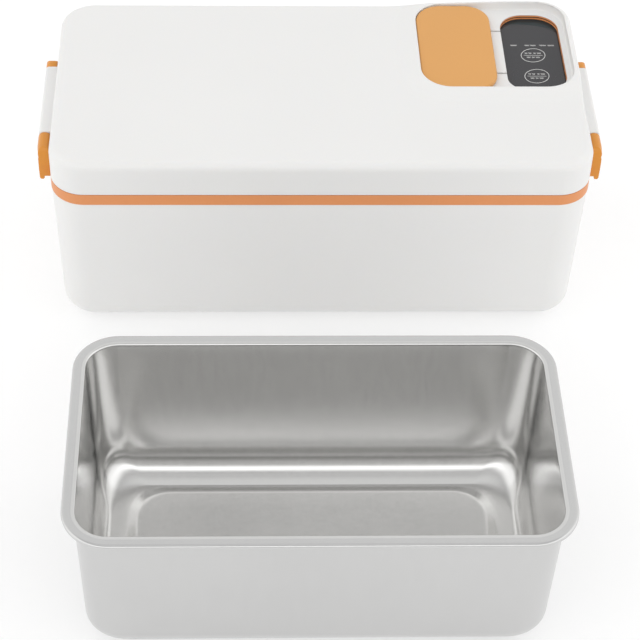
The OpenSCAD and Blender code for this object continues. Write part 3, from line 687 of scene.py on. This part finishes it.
# ---------------------------------------------------------------- sliding cover
def sliding_cover():
    x0, y0, x1, y1 = 47.0, -6.3, 81.8, 57.3
    radii = [13.0, 11.5, 11.5, 12.2]
    top = 98.6
    rings = []

    def at(i, z):
        return ring4(x0 + i, y0 + i, x1 - i, y1 - i, [r - i for r in radii], z, n=16)

    rings.append(at(2.0, DECK + 0.5))
    rings.append(at(0.35, DECK + 0.5))
    rings.append(at(0.1, DECK + 0.6))
    rings.append(at(0.0, DECK + 0.85))
    rings.append(at(0.0, top - 1.0))
    for a in range(0, 91, 15):
        t = math.radians(a)
        rings.append(at(0.85 * (1 - math.cos(t)), top - 1.0 + 0.85 * math.sin(t)))
    for i, z in ((1.3, 0.138), (3.0, 0.1), (5.5, 0.055), (9.0, 0.02)):
        rings.append(at(i, top - z))
    parts = [loft(rings, True, True)]
    for y in SLOT_Y:
        parts.append(prism([(48.4, DECK - 2.25), (50.7, DECK - 2.25), (50.7, DECK + 0.7), (48.4, DECK + 0.7)], y - 0.35, y + 0.35))
        parts.append(prism([(48.4, DECK + 0.1), (68.4, DECK + 0.1), (68.4, DECK + 0.6), (48.4, DECK + 0.6)], y - 3, y + 3))
    ob = make("cover_plate", *join_parts(parts), "cover_orange", "cover", sharp=40)
    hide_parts("sliding_cover")
    return ob


sliding_cover()


# ---------------------------------------------------------------- base skin
def base_skin():
    ax, ay, z0, draft, rb = 119.8, 59.8, 1.0, 1.6, 11.0

    def at(i, z, r0=15.4, k=0.8):
        return ring(ax - i, ay - i, max(r0 - i * k, 2.5), z, n=14, straight=6)

    outer = [at(0.35, 75.28), at(0.1, 75.2), at(0.0, 74.9)]
    for f in (0.12, 0.35, 0.6, 0.85):
        outer.append(at(draft * f, 75.3 - 63.3 * f))
    for a in range(0, 91, 6):
        t = math.radians(a)
        outer.append(at(draft + rb * (1 - math.cos(t)), z0 + rb * (1 - math.sin(t))))
    outer.append(at(draft + rb + 1.0, z0))
    inner = [at(draft + rb + 1.0, z0 + 1.8)]
    for a in (90, 70, 50, 30, 15, 0):
        t = math.radians(a)
        inner.append(at(2.2 + draft + 8.8 * (1 - math.cos(t)), z0 + 1.8 + 8.8 * (1 - math.sin(t)), 15.4))
    inner.append(at(2.2, 75.28))
    shell = loft(outer, False, True)
    lining = loft(inner, True, False)
    bridge = loft([at(2.2, 75.28), at(0.35, 75.28)])
    ob = make("base_skin", *join_parts([shell, lining, bridge]), "shell_white", "base", weld=0.004, sharp=40)
    hole = prism([(110.0, 29.9), (125.0, 29.9), (125.0, 46.1), (110.0, 46.1)], 11.9, 36.1)
    cut(ob, [hole])
    ob.data.shade_smooth()
    ob.data.set_sharp_from_angle(angle=math.radians(40))
    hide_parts("base_shell")
    return ob


base_skin()


# ---------------------------------------------------------------- food tray
def food_tray():
    cx, cy = -5.5, -196.6
    n = 20

    def at(hx, hy, r, z):
        return ring(hx, hy, r, z, cx, cy, n=n, straight=6)

    H = 75.7
    rings = []
    # underside of the raised floor, outwards
    rings += [at(70.0, 29.6, 11.0, 1.6), at(71.6, 31.2, 12.2, 1.58), at(72.6, 32.2, 13.0, 1.3), at(73.2, 32.8, 13.4, 0.5), at(73.9, 33.2, 14, 0.12)]
    # outer fillet and wall, the curve narrower at the ends than along the sides
    for a in range(90, -1, -6):
        t = math.radians(a)
        c = 1 - math.cos(t)
        rings.append(at(93.8 - 1.3 - 9 * c, 50.9 - 1.3 - 16 * c, 13.9 + 5.8 * c, 16.0 * (1 - math.sin(t))))
    for f in (0.7, 0.4, 0.15, 0.03):
        rings.append(at(93.8 - 1.3 * f, 50.9 - 1.3 * f, 13.9, 16 + (H - 1.35 - 16) * (1 - f)))
    # under the rim, round its rolled edge and back over the flat
    rings += [at(93.85, 50.95, 13.95, H - 1.2), at(94.3, 51.4, 14.4, H - 0.9), at(97.0, 54.1, 17.1, H - 0.9), at(97.3, 54.4, 17.4, H - 1.35)]
    for a in range(-75, 91, 15):
        t = math.radians(a)
        line = []
        for (x0, y0, _), (x1, y1, _) in zip(at(96.7, 53.8, 16.8, 0), at(98.3, 55.4, 18.4, 0)):
            e = 0.78 + 0.5 * smooth01((cy - y0 - 40) / 12)
            f, z = (e * (1 - math.cos(t)), e * math.sin(t)) if a > 0 else (0.78 * (1 - math.cos(t)), (1.56 - e) * math.sin(t))
            line.append((x1 + (x0 - x1) * f / 1.6, y1 + (y0 - y1) * f / 1.6, H - e + z))
        rings.append(line)
    rings.append(at(96.7, 53.8, 16.8, H))
    rings.append(at(94.5, 51.6, 14.6, H - 0.02))
    # inner edge of the rim; from here on the sheet is the smoother polished inside, its colour lightened as painted
    # light that brightens the interior
    polished = (len(rings) - 1) * len(rings[0])
    for a in range(90, -1, -15):
        t = math.radians(a)
        line = []
        for (x0, y0, _), (x1, y1, _) in zip(at(93.0, 50.1, 13.1, 0), at(94.1, 51.2, 14.2, 0)):
            e = 0.4 + 0.7 * smooth01((y0 - cy - 36) / 12)
            f = e * (1 - math.cos(t)) / 1.1
            line.append((x0 + (x1 - x0) * f, y0 + (y1 - y0) * f, H - 0.03 - e + e * math.sin(t)))
        rings.append(line)
    for f in (0.1, 0.4, 0.7, 0.92):
        rings.append(at(93.0 - 1.3 * f, 50.1 - 1.3 * f, 13.1, H - 2.2 - (H - 2.2 - 16) * f))
    for a in range(0, 73, 6):
        t = math.radians(a)
        c = 1 - math.cos(t)
        rings.append(at(93.0 - 1.3 - 8.2 * c, 50.1 - 1.3 - 15.2 * c, 13.1 + 5.5 * c, 0.8 + 15.2 * (1 - math.sin(t))))
    # shallow valley, then the sloped side and the crest of the raised floor
    rings += [at(84.6, 38.0, 16.7, 1.42), at(82.0, 37.4, 16.4, 1.36), at(79.2, 36.8, 16.0, 1.4), at(77.6, 36.2, 15.6, 1.54), at(75.2, 34.5, 14.4, 2.1),
              at(74.3, 33.8, 14.0, 2.32), at(73.6, 33.2, 13.8, 2.4), at(72.6, 32.3, 13.0, 2.42), at(60.0, 24.0, 9.0, 2.42)]
    v, f = loft(rings, True, True)
    ob = make("food_tray_steel", v, f, "tray_steel", "tray", sharp=60)
    ob.data.materials.append(M["tray_steel_inner_painted_light"])
    lowest = min(p.index for p in ob.data.polygons)
    for p in ob.data.polygons:
        if p.index - lowest >= polished and len(p.vertices) == 4 or (len(p.vertices) > 4 and p.center.z > 2.0 * MM):
            p.material_index = 1
    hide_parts("food_tray")
    return ob


food_tray()


# ---------------------------------------------------------------- heated pot
def heated_pot():
    def at(hx, hy, r, z):
        return ring(hx, hy, r, z, n=16, straight=4)

    rings = []
    for a in range(90, -1, -9):
        t = math.radians(a)
        i = 0.3 + 13.5 * (1 - math.cos(t))
        rings.append(at(96.6 - i, 53.7 - i, max(17 - 0.8 * i, 2.5), 7.4 + 13.5 * (1 - math.sin(t))))
    rings += [at(96.6, 53.7, 17.0, 82.0), at(96.8, 53.9, 17.2, 82.3), at(99.2, 56.2, 19.5, 82.3), at(99.5, 56.5, 19.8, 82.6), at(99.5, 56.5, 19.8, 83.2),
              at(99.2, 56.2, 19.5, 83.5), at(96.3, 53.4, 16.7, 83.5), at(95.5, 52.6, 15.9, 83.2), at(95.1, 52.2, 15.5, 82.4), at(95.0, 52.1, 15.5, 60.0)]
    for a in range(0, 91, 9):
        t = math.radians(a)
        i = 0.3 + 12.0 * (1 - math.cos(t))
        rings.append(at(95.1 - i, 52.2 - i, max(15.5 - 0.8 * i, 2.5), 8.8 + 12.0 * (1 - math.sin(t))))
    ob = make("heated_pot", *loft(rings, True, True), "pot_aluminium", "base", sharp=50)
    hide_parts("liner_pot")


heated_pot()


# ---------------------------------------------------------------- marks on the touch panel
def ribbon(points, width, z0, z1, closed=False):
    """A flat raised line through the points, as wide as width."""
    rings = []
    m = len(points)
    for i in range(m):
        a = points[(i - 1) % m] if closed or i > 0 else points[i]
        b = points[(i + 1) % m] if closed or i < m - 1 else points[i]
        dx, dy = b[0] - a[0], b[1] - a[1]
        h = math.hypot(dx, dy) or 1
        nx, ny = -dy / h * width / 2, dx / h * width / 2
        x, y = points[i]
        rings.append([(x + nx, y + ny, z0), (x + nx, y + ny, z1), (x - nx, y - ny, z1), (x - nx, y - ny, z0)])
    return loft(rings, not closed, not closed, loop=closed)


def oval(cx, cy, rx, ry, lean, n=48):
    pts = []
    for k in range(n):
        a = 2 * math.pi * k / n
        pts.append((cx + rx * math.cos(a) + lean * math.sin(a), cy + ry * math.sin(a)))
    return pts


marks = []
for cx, cy in ((100.9, 25.3), (101.0, 9.5)):
    marks.append(ribbon(oval(cx, cy, 5.6, 5.1, 0.55), 0.26, PANEL, PANEL + 0.04, True))
    marks.append(ribbon([(cx - 4.4, cy), (cx + 4.4, cy)], 0.2, PANEL, PANEL + 0.04))
    for dy, spans in ((1.55, ((-3.9, -2.5), (-2.1, -0.6), (0.2, 1.4), (1.8, 3.9))), (-1.55, ((-3.2, -1.3), (-0.8, 0.6), (1.0, 3.0)))):
        for a, b in spans:
            for k, off in enumerate((0.26, -0.26)):
                marks.append(ribbon([(cx + a + 0.2 * k, cy + dy + off), (cx + b - 0.1 * k, cy + dy + off)], 0.2, PANEL, PANEL + 0.04))
for a, b in ((90.9, 94.0), (97.6, 99.9), (100.2, 102.9), (104.5, 107.8), (108.4, 111.6)):
    for k, off in enumerate((0.26, -0.26)):
        marks.append(ribbon([(a + 0.25 * k, 32.9 + off), (b - 0.15 * k, 32.9 + off)], 0.2, PANEL, PANEL + 0.04))
make("panel_marks", *join_parts(marks), "print_white", "lid", slot="panel_glass")


def painted_shadow_area():
    """Painted shadow: a darker zone at the rear of the touch panel that stands in for the shade below the recess's rear
    wall, its front edge a shallow arc.
    """
    x0, y0, x1, y1 = WIN[0] - 1.0, WIN[1], WIN[2] + 1.0, WIN[3] + 1.0
    top = [(x, y) for x, y, _ in ring4(x0, 38.0, x1, y1, [1, 1, 11.5, 11.5], 0, n=14)]
    pts = [p for p in top if p[1] > 45.0]
    front = []
    for k in range(25):
        f = k / 24
        x = x0 + (x1 - x0) * f
        front.append((x, 49.6 - 7.2 * f ** 4))
    rear = []
    for x, _ in front:
        r = 11.5
        d = min(x - x0, x1 - x)
        rear.append((x, y1 - (r - math.sqrt(max(0.0, r * r - (r - d) ** 2)) if d < r else 0.0)))
    rings = []
    for z in (PANEL - 0.02, PANEL + 0.015):
        rings.append([(x, y, z) for x, y in front] + [(x, max(y, fy + 0.01), z) for (x, y), (_, fy) in zip(reversed(rear), reversed(front))])
    make("painted_shadow_area", *loft(rings, True, True), "display_tint", "lid", slot="panel_glass")


painted_shadow_area()


# ---------------------------------------------------------------- floor and light
def floor():
    me = bpy.data.meshes.new("floor")
    s = 9.0
    me.from_pydata([(-s, -s, 0), (s, -s, 0), (s, s, 0), (-s, s, 0)], [], [(0, 1, 2, 3)])
    ob = bpy.data.objects.new("floor", me)
    scene.collection.objects.link(ob)
    m = bpy.data.materials.new("floor")
    t = nodes_of(m)
    b = t.nodes.new("ShaderNodeBsdfPrincipled")
    b.inputs["Base Color"].default_value = (0.62, 0.62, 0.62, 1)
    b.inputs["Roughness"].default_value = 0.9
    b.inputs["Specular IOR Level"].default_value = 0.1
    # a backlit white sweep
    b.inputs["Emission Color"].default_value = (1, 1, 1, 1)
    b.inputs["Emission Strength"].default_value = 0.4
    o = t.nodes.new("ShaderNodeOutputMaterial")
    t.links.new(b.outputs["BSDF"], o.inputs["Surface"])
    me.materials.append(m)


floor()


def area(name, location, target, size, power):
    d = bpy.data.lights.new(name, "AREA")
    d.shape = "RECTANGLE"
    d.size, d.size_y = size
    d.energy = power
    ob = bpy.data.objects.new(name, d)
    ob.location = location
    ob.rotation_euler = (Vector(target) - Vector(location)).to_track_quat("-Z", "Y").to_euler()
    scene.collection.objects.link(ob)
    return ob


# soft light tent: how bright each side of it is, from the horizon up to straight overhead
TENT_HEIGHTS = (0.0, 25.0, 40.0, 47.0, 53.0, 62.0, 90.0)
TENT = {
    "front": (0.7, 0.95, 1.9, 1.55, 0.27, 0.55, 0.9),
    "back": (0.8, 0.85, 0.95, 0.93, 0.9, 0.75, 0.9),
    "left": (1.2, 1.3, 1.4, 1.4, 1.3, 0.6, 0.9),
    "right": (1.1, 1.25, 1.5, 1.5, 1.4, 0.6, 0.9),
}


def light_tent():
    world = bpy.data.worlds.new("studio")
    scene.world = world
    world.use_nodes = True
    t = world.node_tree
    t.nodes.clear()

    def op(kind, a, b):
        n = t.nodes.new("ShaderNodeMath")
        n.operation = kind
        for i, v in enumerate((a, b)):
            if isinstance(v, (int, float)):
                n.inputs[i].default_value = v
            else:
                t.links.new(v, n.inputs[i])
        return n.outputs[0]

    coord = t.nodes.new("ShaderNodeTexCoord")
    split = t.nodes.new("ShaderNodeSeparateXYZ")
    t.links.new(coord.outputs["Generated"], split.inputs["Vector"])
    x, y, z = split.outputs
    flat = op("ADD", op("ADD", op("MULTIPLY", x, x), op("MULTIPLY", y, y)), 1e-6)
    total = None
    for side, axis, sign in (("front", y, -1.0), ("back", y, 1.0), ("left", x, -1.0), ("right", x, 1.0)):
        share = op("DIVIDE", op("POWER", op("MAXIMUM", op("MULTIPLY", axis, sign), 0.0), 2.0), flat)
        ramp = t.nodes.new("ShaderNodeValToRGB")
        for i, (deg, v) in enumerate(zip(TENT_HEIGHTS, TENT[side])):
            at = math.sin(math.radians(deg))
            el = ramp.color_ramp.elements[0] if i == 0 else ramp.color_ramp.elements.new(at) if at < 1 else ramp.color_ramp.elements[-1]
            el.position = at
            v *= 0.5
            el.color = (v, v, v, 1)
        t.links.new(z, ramp.inputs["Fac"])
        part = op("MULTIPLY", share, ramp.outputs["Color"])
        total = part if total is None else op("ADD", total, part)
    bg = t.nodes.new("ShaderNodeBackground")
    t.links.new(total, bg.inputs["Color"])
    bg.inputs["Strength"].default_value = 2.0
    out = t.nodes.new("ShaderNodeOutputWorld")
    t.links.new(bg.outputs["Background"], out.inputs["Surface"])


light_tent()
area("key", (-0.15, -1.69, 1.84), (0, -0.15, 0), (2.6, 1.3), 15.4 * 0.12)
